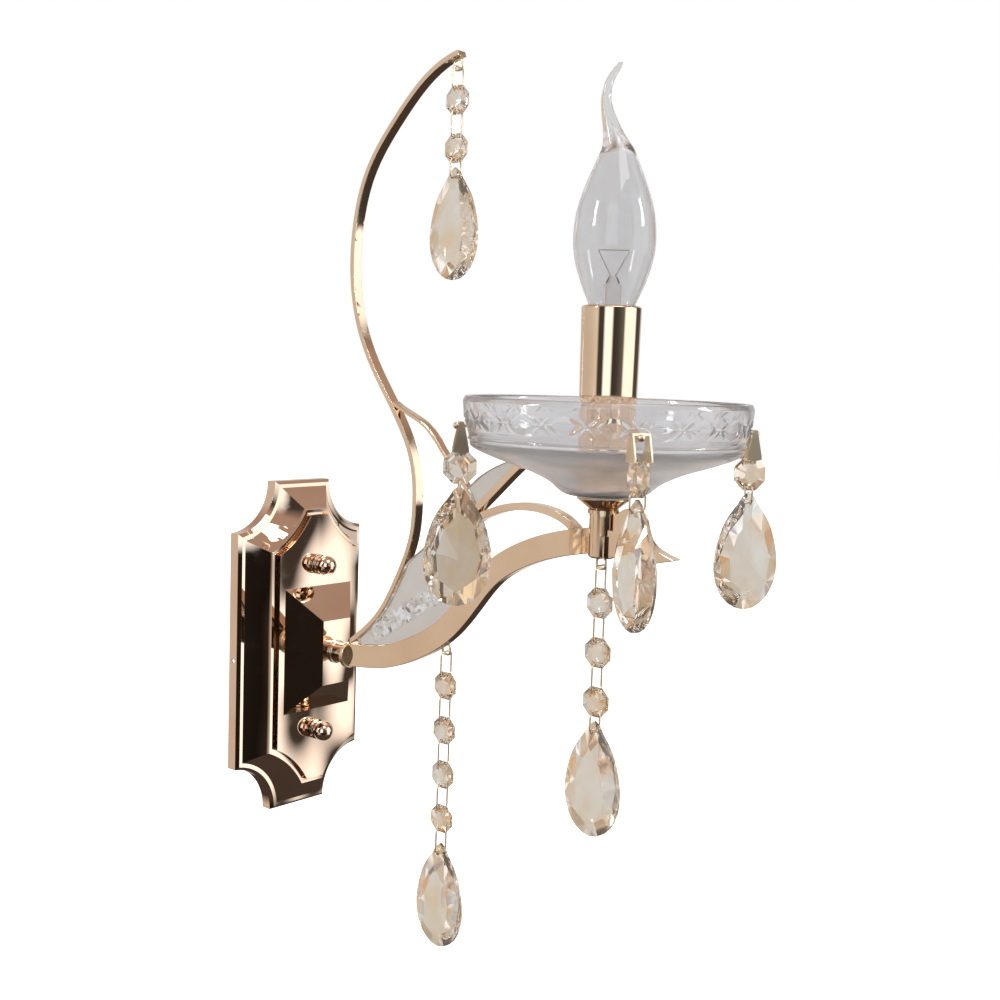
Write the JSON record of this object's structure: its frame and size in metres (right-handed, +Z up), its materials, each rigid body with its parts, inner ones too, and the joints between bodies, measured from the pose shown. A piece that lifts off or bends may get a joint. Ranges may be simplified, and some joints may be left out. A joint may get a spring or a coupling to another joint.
{
  "type": "candelabra wall light",
  "caption": "Gold wall light: stamped backplate, scrolled bar arm, cut glass bowl under a candle lamp, and hanging crystal drops.",
  "frame": {"origin": "centre of the wall bracket at the wall's face", "axes": "+Z up, +Y into the wall, so the arm reaches out along -Y"},
  "size_m": [0.1248, 0.2649, 0.4291],
  "materials": {
    "plate_gold": "polished mirror plate",
    "arm_gold": "bright champagne plate",
    "zinc": "zinc plated",
    "terminal_plastic": "matt",
    "gasket_rubber": "matt",
    "bowl_glass": "clear, cut",
    "leaf_glass": "clear, engraved",
    "crystal": "clear, faceted",
    "lamp_clear_glass": "clear",
    "lamp_metal": "polished",
    "lamp_wire": "drawn wire",
    "holder_plastic": "matt"
  },
  "bodies": {
    "light": {"backplate": "plate_gold", "wall_bracket": "zinc", "stud_upper": "zinc", "stud_lower": "zinc", "earth_screw": "lamp_metal", "terminal_block": "terminal_plastic", "arm_nipple": "zinc", "nipple_locknut": "zinc", "arm_boss": "arm_gold", "arm_flange": "arm_gold", "lower_arm": "arm_gold", "upper_scroll": "arm_gold", "inner_strap": "arm_gold", "arch_brace": "arm_gold", "leaf_rib": "arm_gold", "clear_leaf": "leaf_glass", "clear_blade": "leaf_glass", "pillar": "arm_gold", "scroll_ring": "arm_gold", "arm_ring": "arm_gold", "pillar_ring": "arm_gold", "threaded_rod": "zinc", "cup_seat": "arm_gold", "bowl_gasket": "gasket_rubber", "bowl_washer": "arm_gold", "clamp_nut": "lamp_metal", "glass_bowl": "bowl_glass", "candle_sleeve": "arm_gold", "lampholder": "holder_plastic", "lampholder_shell": "lamp_metal", "lampholder_contact": "lamp_metal", "bowl_left_hook": "arm_gold", "bowl_front_hook": "arm_gold", "bowl_right_hook": "arm_gold"},
    "cap_nut_upper": {"cap_nut_upper": "plate_gold"},
    "cap_nut_lower": {"cap_nut_lower": "plate_gold"},
    "lamp": {"lamp_glass": "lamp_clear_glass", "lamp_cap": "lamp_metal", "lamp_stem": "lamp_clear_glass", "lamp_filament": "lamp_wire"},
    "scroll_string": {"scroll_links": "arm_gold", "scroll_octagons": "crystal"},
    "scroll_string_drop": {"scroll_drop": "crystal"},
    "arm_string": {"arm_links": "arm_gold", "arm_octagons": "crystal"},
    "arm_string_drop": {"arm_drop": "crystal"},
    "pillar_string": {"pillar_links": "arm_gold", "pillar_octagons": "crystal"},
    "pillar_string_drop": {"pillar_drop": "crystal"},
    "bowl_left_string": {"bowl_left_clip": "arm_gold", "bowl_left_octagon": "crystal"},
    "bowl_left_string_drop": {"bowl_left_drop": "crystal"},
    "bowl_front_string": {"bowl_front_clip": "arm_gold", "bowl_front_octagon": "crystal"},
    "bowl_front_string_drop": {"bowl_front_drop": "crystal"},
    "bowl_right_string": {"bowl_right_clip": "arm_gold", "bowl_right_octagon": "crystal"},
    "bowl_right_string_drop": {"bowl_right_drop": "crystal"}
  },
  "joints": [
    {"name": "cap_nut_upper_turn", "type": "hinge", "parent": "light", "child": "cap_nut_upper", "pos_m": [0, 0, 0.044], "axis": [0, -1, 0], "continuous": true},
    {"name": "cap_nut_lower_turn", "type": "hinge", "parent": "light", "child": "cap_nut_lower", "pos_m": [0, 0, -0.044], "axis": [0, -1, 0], "continuous": true},
    {"name": "lamp_turn", "type": "hinge", "parent": "light", "child": "lamp", "pos_m": [0, -0.2025, 0.1372], "axis": [0, 0, 1], "continuous": true},
    {"name": "scroll_string_swing", "type": "hinge", "parent": "light", "child": "scroll_string", "pos_m": [0, -0.1094, 0.2862], "axis": [0, 1, 0], "range_deg": [-40, 40]},
    {"name": "scroll_drop_swing", "type": "hinge", "parent": "scroll_string", "child": "scroll_string_drop", "pos_m": [0, -0.1094, 0.2372], "axis": [1, 0, 0], "range_deg": [-35, 35]},
    {"name": "arm_string_swing", "type": "hinge", "parent": "light", "child": "arm_string", "pos_m": [0, -0.1127, 0.01142], "axis": [0, 1, 0], "range_deg": [-40, 40]},
    {"name": "arm_drop_swing", "type": "hinge", "parent": "arm_string", "child": "arm_string_drop", "pos_m": [0, -0.1127, -0.087], "axis": [1, 0, 0], "range_deg": [-35, 35]},
    {"name": "pillar_string_swing", "type": "hinge", "parent": "light", "child": "pillar_string", "pos_m": [0, -0.2025, 0.0641], "axis": [0, 1, 0], "range_deg": [-40, 40]},
    {"name": "pillar_drop_swing", "type": "hinge", "parent": "pillar_string", "child": "pillar_string_drop", "pos_m": [0, -0.2025, -0.0082], "axis": [1, 0, 0], "range_deg": [-35, 35]},
    {"name": "bowl_left_string_swing", "type": "hinge", "parent": "light", "child": "bowl_left_string", "pos_m": [-0.04637, -0.16001, 0.1245], "axis": [-0.7373, 0.6756, 0], "range_deg": [-30, 30]},
    {"name": "bowl_left_drop_swing", "type": "hinge", "parent": "bowl_left_string", "child": "bowl_left_string_drop", "pos_m": [-0.04637, -0.16001, 0.09435], "axis": [-0.6756, -0.7373, 0], "range_deg": [-35, 35]},
    {"name": "bowl_front_string_swing", "type": "hinge", "parent": "light", "child": "bowl_front_string", "pos_m": [-0.04391, -0.25042, 0.1245], "axis": [-0.6756, -0.7373, 0], "range_deg": [-30, 30]},
    {"name": "bowl_front_drop_swing", "type": "hinge", "parent": "bowl_front_string", "child": "bowl_front_string_drop", "pos_m": [-0.04391, -0.25042, 0.09625], "axis": [0.9239, -0.3827, 0], "range_deg": [-35, 35]},
    {"name": "bowl_right_string_swing", "type": "hinge", "parent": "light", "child": "bowl_right_string", "pos_m": [0.04741, -0.24594, 0.1245], "axis": [0.7373, -0.6756, 0], "range_deg": [-30, 30]},
    {"name": "bowl_right_drop_swing", "type": "hinge", "parent": "bowl_right_string", "child": "bowl_right_string_drop", "pos_m": [0.04741, -0.24594, 0.09435], "axis": [0.5664, 0.8241, 0], "range_deg": [-35, 35]}
  ]
}
